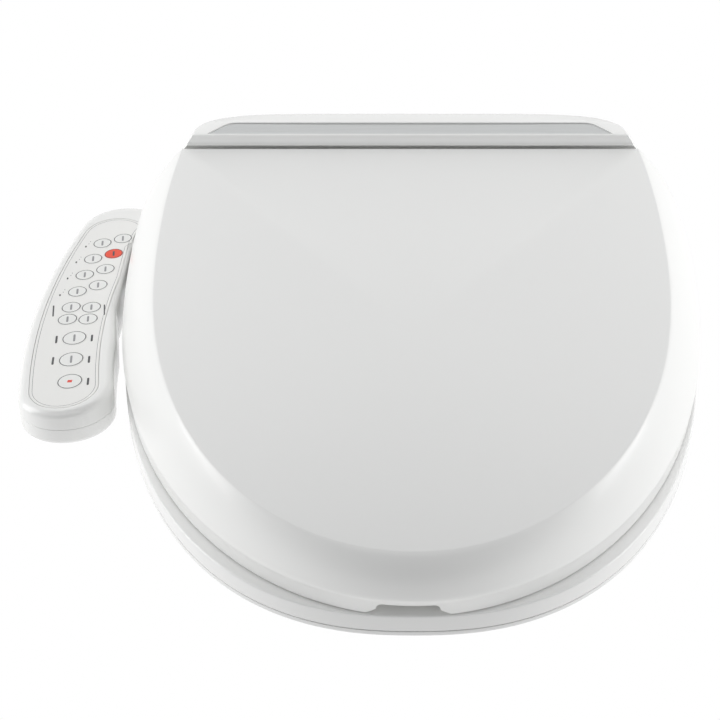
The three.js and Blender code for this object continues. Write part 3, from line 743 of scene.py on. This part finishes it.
def rounded_rectangle(low, high, soft, steps=6):
    """A rectangle with round corners, anticlockwise."""
    points = []
    corners = ((high[0], high[1]), (low[0], high[1]), (low[0], low[1]), (high[0], low[1]))
    for quarter, (x, y) in enumerate(corners):
        turn = np.linspace(0, np.pi / 2, steps) + quarter * np.pi / 2
        middle = (np.clip(x, low[0] + soft, high[0] - soft), np.clip(y, low[1] + soft, high[1] - soft))
        points.append(np.column_stack([np.cos(turn), np.sin(turn)]) * soft + middle)
    return np.concatenate(points)


bay_side = rounded_rectangle((BAY["front"], BAY["low"]), (FRONT + 2, BAY["top"]), BAY["soft"])
bay_z = bay_side[:, 1]
bay_side[:, 1] = np.where(bay_z < FOOT_BELOW, np.maximum(bay_z - FOOT_DROP, BAY["low"]), bay_z)
bay_shape = rounded_bar(bay_side, -BAY["half"], BAY["half"], 3)
bay = piece("housing_bay", bay_shape, "unit", [WHITE])
bay_inside = BAY["half"] - BAY["wall"]
bay_back = (bay_inside, FRONT - 1, BAY["top"] - BAY["roof"])
cut(bay, block((-bay_inside, BAY["front"] + BAY["wall"], 0), bay_back))
window_corner = (NOZZLE_WINDOW["half"], WINDOW_BACK, NOZZLE_WINDOW["top"])
cut(bay, block((-NOZZLE_WINDOW["half"], WINDOW_FRONT, 0), window_corner))
duct_low, duct_high = (np.array(corner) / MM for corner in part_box("dryer_duct"))
(left, _, bottom), (right, _, top) = duct_low + DUCT_LIP, duct_high - DUCT_LIP
cut(bay, block((left, WINDOW_FRONT, bottom), (right, WINDOW_BACK, top)))
unit_eye = eye_outline(BAY["top"] - 2, 0)
piece("pin_posts", mirrored(unit_eye, *PIN_POST, 1), "unit", [WHITE])

# %% [markdown]
# ## The grey strip
# A thin bar let into the deck, its upper edge softened so that it catches a fine line of light.

# %% Strip
strip_foot, strip_top = STRIP_LOW[2], STRIP_HIGH[2]
strip_levels = [(strip_foot, 0.4), (strip_foot + 0.4, 0), (strip_top - 0.35, 0), (strip_top, 0.45)]
strip_shape = closed_loft([heights(strip_plan(-inset), z) for z, inset in strip_levels])
piece("deck_trim", strip_shape, "unit", [STRIP], ["deck_strip"])

# %% [markdown]
# ## The control arm
# In plan the arm is a band bent round a far centre, with round ends. It is held clear of the lid and
# the ring by a line that follows their sweep, and clear of the housing by following its shoulder. Its
# top edge is a fillet rolled into the sloping face, and a fine chamfer marks the seam.

# %% Arm
ARM = {"x": 309, "y": -112, "radius": 552.5, "half": 32.5, "from": -9.3, "to": 13.2}
OVERLAY = {"radius": 553.5, "half": 23.5, "from": -9.5, "to": 12}
FACE = {"x": -235, "y": -205, "z": 33, "slope": 0.0501}
SWEEP_Y = (-260, -240, -200, -150, -100, -14)
SWEEP_X = (-180, -190.8, -200.5, -208.9, -216.5, -216.5)
SHOULDER = {"half": 213.8, "back": 48.6, "gap": 0.5, "least": -150}
ARM_LOW, ARM_BASE_TOP = (corner.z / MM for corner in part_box("arm_base"))
ARM_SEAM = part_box("arm_cover")[0].z / MM


def arm_point(radius, degrees):
    """A point at a radius and an angle about the arm's far centre."""
    angle = np.radians(degrees)
    return np.stack([ARM["x"] - radius * np.cos(angle), ARM["y"] + radius * np.sin(angle)], -1)


def band_outline(radius, half, start, end, steps=60, cap=24):
    """A band about the far centre with a half circle at each end, anticlockwise."""
    outer = arm_point(radius + half, np.linspace(end, start, steps))
    inner = arm_point(radius - half, np.linspace(start, end, steps))
    turn = np.linspace(0, np.pi, cap + 2)[1:-1]
    front = arm_point(radius, start)
    back = arm_point(radius, end)
    front_turn = np.pi - math.radians(start) + turn
    back_turn = -math.radians(end) + turn
    front_cap = front + half * np.column_stack([np.cos(front_turn), np.sin(front_turn)])
    back_cap = back + half * np.column_stack([np.cos(back_turn), np.sin(back_turn)])
    return np.concatenate([outer, front_cap, inner, back_cap])


def clear_of_seat(outline, inset=0.0):
    """Moves points out of the way of the lid and ring as they swing, and out of the housing's shoulder."""
    along = np.clip((outline[:, 1] - FRONT) / (SHOULDER["back"] - FRONT), 0, 1)
    shoulder = -SHOULDER["half"] * (1 - along**2.5) ** (1 / 6) - SHOULDER["gap"]
    sweep = np.interp(outline[:, 1], SWEEP_Y, SWEEP_X)
    beside = np.minimum(shoulder, SHOULDER["least"])
    limit = np.where(outline[:, 1] < FRONT, sweep, beside) - inset
    return np.column_stack([np.minimum(outline[:, 0], limit), outline[:, 1]])


def face_height(plan):
    """The height of the arm's sloping face."""
    return FACE["z"] + FACE["slope"] * (plan[:, 0] - FACE["x"] + plan[:, 1] - FACE["y"])


def arm_ring(inset, z=None, drop=0.0):
    """The arm's outline drawn in by inset, at a height or at a drop below the sloping face."""
    plan = clear_of_seat(band_outline(ARM["radius"], ARM["half"] - inset, ARM["from"], ARM["to"]), inset)
    return heights(plan, face_height(plan) - drop if z is None else z)


def arm_cover_body(soft=5.5):
    """From the seam up the side, round the fillet and over the face."""
    rings = [arm_ring(0.12, ARM_SEAM - 0.15), arm_ring(0, ARM_SEAM)]
    for angle in np.linspace(0, np.pi / 2, 9):
        rings.append(arm_ring(soft * (1 - math.cos(angle)), drop=soft * (1 - math.sin(angle))))
    return closed_loft(rings)


def overlay_outline(margin):
    """The overlay's outline, a margin larger, drawn flat."""
    plan = band_outline(OVERLAY["radius"], OVERLAY["half"] + margin, OVERLAY["from"], OVERLAY["to"])
    return clear_of_seat(plan, 2.2 - margin)


arm_levels = [(2.6, ARM_LOW), (1.2, ARM_LOW + 0.5), (0.3, ARM_LOW + 1.8), (0, ARM_LOW + 3.5)]
arm_levels += [(0, ARM_BASE_TOP - 0.1), (0.12, ARM_BASE_TOP)]
arm_foot_shape = closed_loft([arm_ring(inset, z) for inset, z in arm_levels])
piece("arm_foot", arm_foot_shape, "unit", [WHITE], ["arm_base"])
arm_cover = piece("arm_casing", arm_cover_body(), "unit", [WHITE], ["arm_cover"])

# %% [markdown]
# ## Where the keys go
# The keys stand in two staggered rows, a block of four and three large ones, each placed by a radius
# and an angle about the arm's far centre. Film, marks and keys share one sloping frame, made by the
# shortest turn that takes +Z to the face's normal. A shallow pocket for the film is cut here. The
# casing has no wells, so the keys' feet stand in it.

# %% Key places
KEY_SMALL, KEY_LARGE = 7.0, 8.5
INNER_ROW, OUTER_ROW, MIDDLE_ROW = 543.7, 557.5, 549.5


def key_places():
    """Radius and place of each key: two staggered rows of four, a block of four, and three large."""
    places = []
    for i in range(4):
        places.append((KEY_SMALL, arm_point(INNER_ROW, 11.3 - 2.4 * i)))
        places.append((KEY_SMALL, arm_point(OUTER_ROW, 10.4 - 2.4 * i)))
    for i in range(2):
        places.append((KEY_SMALL, arm_point(OUTER_ROW + 0.3, 1 - 1.65 * i)))
        places.append((KEY_SMALL, arm_point(INNER_ROW - 1, 0.9 - 1.65 * i)))
    return places + [(KEY_LARGE, arm_point(MIDDLE_ROW, -3.25 - 2.8 * i)) for i in range(3)]


FACE_NORMAL = np.array([-FACE["slope"], -FACE["slope"], 1.0])
FACE_NORMAL /= np.linalg.norm(FACE_NORMAL)
FACE_TURN = np.array(Vector((0, 0, 1)).rotation_difference(Vector(FACE_NORMAL)).to_matrix())


def on_face(flat, lift):
    """Points drawn flat round the face's own origin, tipped with the face and lifted off it, in metres."""
    local = np.column_stack([flat - (FACE["x"], FACE["y"]), np.broadcast_to(lift, len(flat))])
    return (local @ FACE_TURN.T + (FACE["x"], FACE["y"], FACE["z"])) * MM


keys = key_places()
pocket_outline = overlay_outline(0.35)
cut(arm_cover, closed_loft([on_face(pocket_outline, -1.0), on_face(pocket_outline, 8.0)]))
print("keys", len(keys), "face normal", FACE_NORMAL.round(3))

# %% [markdown]
# ## The control film
# The film is a flat sheet with a round hole for every key, so it is drawn as a flat curve with
# holes, made a mesh, and then laid on the sloping face.


# %% Overlay film
def circle(middle, radius, steps=40):
    """Points round a circle."""
    turn = np.linspace(0, 2 * np.pi, steps, endpoint=False)
    return np.column_stack([np.cos(turn), np.sin(turn)]) * radius + middle


def sheet_on_face(loops, thickness, lift):
    """A flat sheet whose first loop is its edge and the rest holes, laid on the face, as points and faces."""
    curve = bpy.data.curves.new("sheet", "CURVE")
    curve.dimensions = "2D"
    curve.fill_mode = "BOTH"
    curve.extrude = thickness / 2
    for loop in loops:
        spline = curve.splines.new("POLY")
        spline.points.add(len(loop) - 1)
        for point, (x, y) in zip(spline.points, loop):
            point.co = (x, y, 0, 1)
        spline.use_cyclic_u = True
    sheet = bpy.data.objects.new("sheet", curve)
    bpy.context.collection.objects.link(sheet)
    mesh = bpy.data.meshes.new_from_object(sheet.evaluated_get(bpy.context.evaluated_depsgraph_get()))
    flat = np.array([vertex.co for vertex in mesh.vertices])
    faces = [list(polygon.vertices) for polygon in mesh.polygons]
    bpy.data.meshes.remove(mesh)
    bpy.data.objects.remove(sheet)
    bpy.data.curves.remove(curve)
    return on_face(flat[:, :2], flat[:, 2] + lift), faces


holes = [circle(place, radius + 0.12) for radius, place in keys]
film_shape = sheet_on_face([overlay_outline(-0.15), *holes], 0.6, -0.35)
piece("control_film", film_shape, "unit", [FILM], ["control_overlay"])

# %% [markdown]
# The printed marks stand for words: short bars in near black and pale dots, with a fine line
# round the film.

# %% Marks on the film
INK = moulded("ink", (0.07, 0.07, 0.075), 0.5, 0, 0.01)
PALE_INK = moulded("pale_ink", (0.30, 0.30, 0.31), 0.5, 0, 0.01)
RED_INK = moulded("red_ink", (0.80, 0.08, 0.05), 0.45, 0, 0.01)
INK_THICK = 0.02
MARK_TILT = 96
FRAME_LINE = (-1.9, -2.2)
outer_keys = keys[1:8:2]
large_keys = keys[12:]


def stadium(middle, length, width, degrees, steps=8):
    """A short bar with round ends at an angle."""
    turn = np.linspace(-np.pi / 2, np.pi / 2, steps)
    cap = np.column_stack([np.cos(turn), np.sin(turn)]) * width / 2 + ((length - width) / 2, 0)
    loop = np.concatenate([cap, -cap])
    angle = math.radians(degrees)
    axes = np.array([[math.cos(angle), math.sin(angle)], [-math.sin(angle), math.cos(angle)]])
    return loop @ axes + middle


def printed(name, loops, finish):
    """Flat marks printed on the film, as one piece."""
    sheets = [sheet_on_face(group, INK_THICK, -INK_THICK) for group in loops]
    return piece(name, joined(*sheets), "unit", [finish])


captions = []
for radius, place in large_keys:
    captions.append([stadium(place + (radius + 4.2, -1), 8.5, 1.5, MARK_TILT)])
for radius, place in large_keys[:2]:
    captions.append([stadium(place - (radius + 4.2, 1), 9.5, 1.5, MARK_TILT)])
captions.append([stadium(keys[8][1] + (-12.5, -4), 15, 1.1, 98)])
captions.append([stadium(keys[9][1] + (10.2, -4), 14, 1.0, 98)])
lamps = []
for radius, place in outer_keys:
    lamps.append([circle(place - (radius + 3.0, -3.4), 0.45, 12)])
    lamps.append([circle(place - (radius + 3.6, 0), 0.45, 12)])
    captions.append([stadium(place - (radius + 5.4, 4), 2.6, 1.2, MARK_TILT)])
printed("film_outline", [[overlay_outline(margin) for margin in FRAME_LINE]], PALE_INK)
printed("key_captions", captions, INK)
printed("key_lamps", lamps, PALE_INK)
print("marks", len(captions) + len(lamps))

# %% [markdown]
# ## Keys
# A key is a disc drawn round the face's normal: a straight side, a small chamfer and a flat top. The
# narrow band just inside the edge is the dark printed ring, a second material that is chosen by
# distance from the key's axis. A small bar stands for a symbol, and the last key has a red square.

# %% Key caps
KEY_FOOT, KEY_TOP = -5.6, 0.12
KEY_EDGE, KEY_RING = 0.12, 0.7
MARK_LIFT = KEY_TOP + 0.012
LAMP_HALF = (1.6, 1.4)
RED_KEY = 3
KEY_WHITE = moulded("key_white", (0.84, 0.845, 0.83), 0.3, 0.2)
KEY_RED = moulded("key_red", (0.86, 0.065, 0.02), 0.4, 0.05)


def key_cap(radius, place):
    """One key as points and faces."""
    profile = [(radius, KEY_FOOT), (radius, KEY_TOP - 0.15)]
    profile += [(radius - KEY_EDGE, KEY_TOP), (radius - KEY_RING, KEY_TOP)]
    return closed_loft([on_face(circle(place, ring), lift) for ring, lift in profile])


def key_materials(radius, place):
    """Chooses the dark ring's squares by their distance from the key's axis."""
    middle = on_face(place[None], KEY_TOP)[0]

    def choose(mesh):
        away = np.linalg.norm(centres(mesh) - middle, axis=1) / MM
        return (away > radius - KEY_RING) & (away < radius - KEY_EDGE)

    return choose


for index, (radius, place) in enumerate(keys, 1):
    face_finish = KEY_RED if index == RED_KEY else KEY_WHITE
    key = f"key_{index:02d}"
    dark_ring = key_materials(radius, place)
    piece(f"{key}_cap", key_cap(radius, place), key, [face_finish, INK], [key], dark_ring)
    if index < len(keys):
        sign = sheet_on_face([stadium(place, radius * 1.05, 1.5, MARK_TILT)], INK_THICK, MARK_LIFT)
        piece(f"{key}_mark", sign, key, [INK if index == RED_KEY else PALE_INK])
lamp_corners = np.array([[-1, -1], [1, -1], [1, 1], [-1, 1]]) * LAMP_HALF
square = sheet_on_face([keys[-1][1] + lamp_corners], INK_THICK, MARK_LIFT)
piece("key_15_lamp", square, "key_15", [RED_INK])

# %% [markdown]
# ## Finishes on the parts whose shape is already right
# Pins, nozzles, motors and the other inner parts keep their own shape and get a finish from their slot.

# %% Inner parts
BY_SLOT = {
    "white_plastic": WHITE,
    "lid_plastic": LID_GLOSS,
    "ring_plastic": RING_WHITE,
    "grey_strip": STRIP,
    "grey_plastic": GREY,
    "dark_plastic": DARK,
    "steel": STEEL,
    "brass": BRASS,
    "white_rubber": RUBBER,
    "board": BOARD,
    "overlay_film": FILM,
    "key_face": KEY_WHITE,
    "key_red": KEY_RED,
}
finish_of = {part["node"]: BY_SLOT[part["material_slot"]] for part in frame["record"]["subparts"]}
for node in frame["nodes"]:
    for holder in bpy.data.objects[node].material_slots:
        holder.material = finish_of[node]
print("finished nodes", len(finish_of))

# %% [markdown]
# ## The stage
# The part stands over a white glowing floor that runs up into a wall without a corner. The floor lies
# below the nozzles' reach, and both go on far enough to fill a view from behind.

# %% Stage
FLOOR_Z = -0.1
STAGE_REACH, WALL_TOP = 60.0, 12.0
BEND_Y = 2.2


def backdrop():
    """A floor below the nozzles' reach that curves up into a wall far behind."""
    turn = np.linspace(0, np.pi / 2, 16)
    bend = zip(BEND_Y + np.sin(turn), 1 - np.cos(turn))
    curve = [(-STAGE_REACH, 0.0), *bend, (BEND_Y + 1, WALL_TOP)]
    rows = np.array([[(x, y, z + FLOOR_Z) for x in (-STAGE_REACH, STAGE_REACH)] for y, z in curve])
    points = rows.reshape(-1, 3)
    faces = [(2 * i, 2 * i + 1, 2 * i + 3, 2 * i + 2) for i in range(len(curve) - 1)]
    return points, faces


stage_points, stage_faces = backdrop()
stage_mesh = bpy.data.meshes.new("stage")
stage_mesh.from_pydata(stage_points.tolist(), [], stage_faces)
stage_mesh.shade_smooth()
paper = Finish("paper")
paper.set(Base_Color=(0, 0, 0, 1), Roughness=1.0, Emission_Color=(1, 1, 1, 1), Emission_Strength=1.0)
paper.set(Specular_IOR_Level=0.0)
stage_mesh.materials.append(paper.material)
stage = bpy.data.objects.new("stage", stage_mesh)
bpy.context.scene.collection.objects.link(stage)
print("stage floor at", FLOOR_Z)

# %% [markdown]
# ## The lights
# Two broad soft lights at the sides draw the long highlights, one high in front lights the panel, and
# a weaker one hangs overhead.


# %% Lights
def soft_light(name, place, target, size, power):
    """A square area light aimed at a point."""
    data = bpy.data.lights.new(name, "AREA")
    data.shape = "RECTANGLE"
    data.size, data.size_y = size
    data.energy = power
    light = bpy.data.objects.new(name, data)
    light.location = place
    light.rotation_euler = (Vector(target) - Vector(place)).to_track_quat("-Z", "Y").to_euler()
    bpy.context.scene.collection.objects.link(light)


AIM = (0, -0.19, 0.05)
soft_light("overhead", (0.0, 0.35, 1.4), AIM, (1.4, 0.9), 2.5)
soft_light("front_top", (0.0, -1.5, 1.5), AIM, (1.8, 0.9), 6)
soft_light("left_side", (-1.35, -0.15, 0.55), AIM, (0.7, 1.2), 9.5)
soft_light("right_side", (1.35, -0.15, 0.55), AIM, (0.7, 1.2), 9.5)
world = bpy.data.worlds.new("studio")
world.use_nodes = True
world.node_tree.nodes["Background"].inputs["Color"].default_value = (0.95, 0.97, 1.0, 1)
world.node_tree.nodes["Background"].inputs["Strength"].default_value = 0.15
bpy.context.scene.world = world
bpy.context.scene.view_settings.view_transform = "Standard"
print("lights", len(bpy.data.lights))
